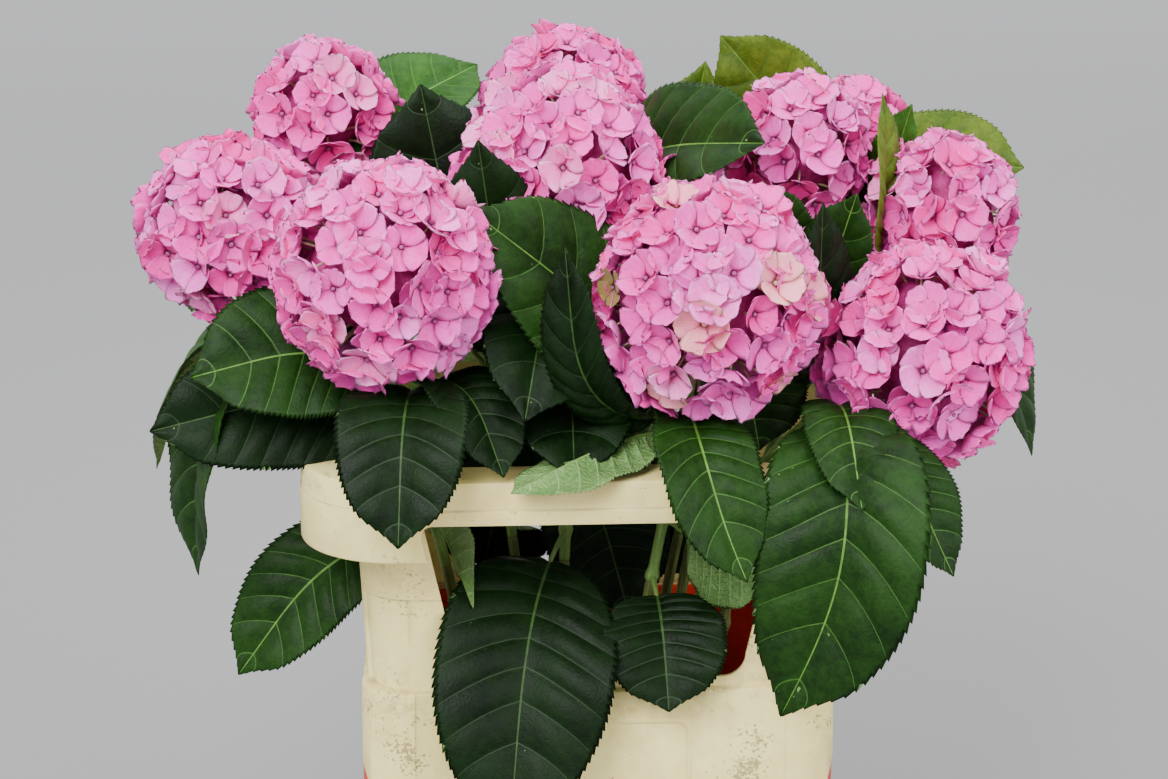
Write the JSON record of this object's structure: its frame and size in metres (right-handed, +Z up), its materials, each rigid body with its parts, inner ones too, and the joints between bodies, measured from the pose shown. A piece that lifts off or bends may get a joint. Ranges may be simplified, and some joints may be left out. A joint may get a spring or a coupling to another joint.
{
  "type": "cut hydrangea stems in a flower bucket with collar",
  "caption": "Cut hydrangea stems with round pink flower heads and large toothed leaves, standing in a red plastic flower bucket under a cream windowed collar.",
  "frame": {"origin": "on the ground, at the middle of the bucket's flat underside", "axes": "+Z up; +X along the bucket's long side, to the right seen from the front; -Y to the front, where the large leaf hangs out of the collar's window"},
  "size_m": [0.618, 0.4792, 0.6921],
  "materials": {
    "red_plastic": "satin moulded plastic with scuffs",
    "cream_plastic": "satin moulded plastic with grey-brown grime",
    "green_cane": "smooth green bark",
    "leaf": "satin with sunken veins",
    "petal": "soft matt with fine veins"
  },
  "bodies": {
    "root": {"bucket": "red_plastic", "collar": "cream_plastic", "stem_left": "green_cane", "stem_front_left": "green_cane", "stem_middle": "green_cane", "stem_front_right": "green_cane", "stem_front_far_right": "green_cane", "stem_right": "green_cane", "stem_upper_right": "green_cane", "stem_back": "green_cane", "stem_back_left": "green_cane", "stem_back_right": "green_cane", "stem_rear_left": "green_cane", "stem_rear_right": "green_cane", "foliage_left": "leaf", "foliage_front_left": "leaf", "foliage_middle": "leaf", "foliage_front_right": "leaf", "foliage_front_far_right": "leaf", "foliage_right": "leaf", "foliage_upper_right": "leaf", "foliage_back": "leaf", "foliage_back_left": "leaf", "foliage_back_right": "leaf", "foliage_rear_left": "leaf", "foliage_rear_right": "leaf", "bloom_left": "petal", "bloom_front_left": "petal", "bloom_middle": "petal", "bloom_front_right": "petal", "bloom_front_far_right": "petal", "bloom_right": "petal", "bloom_upper_right": "petal", "bloom_back": "petal", "bloom_back_left": "petal", "bloom_back_right": "petal", "bloom_rear_left": "petal", "bloom_rear_right": "petal"}
  },
  "joints": []
}
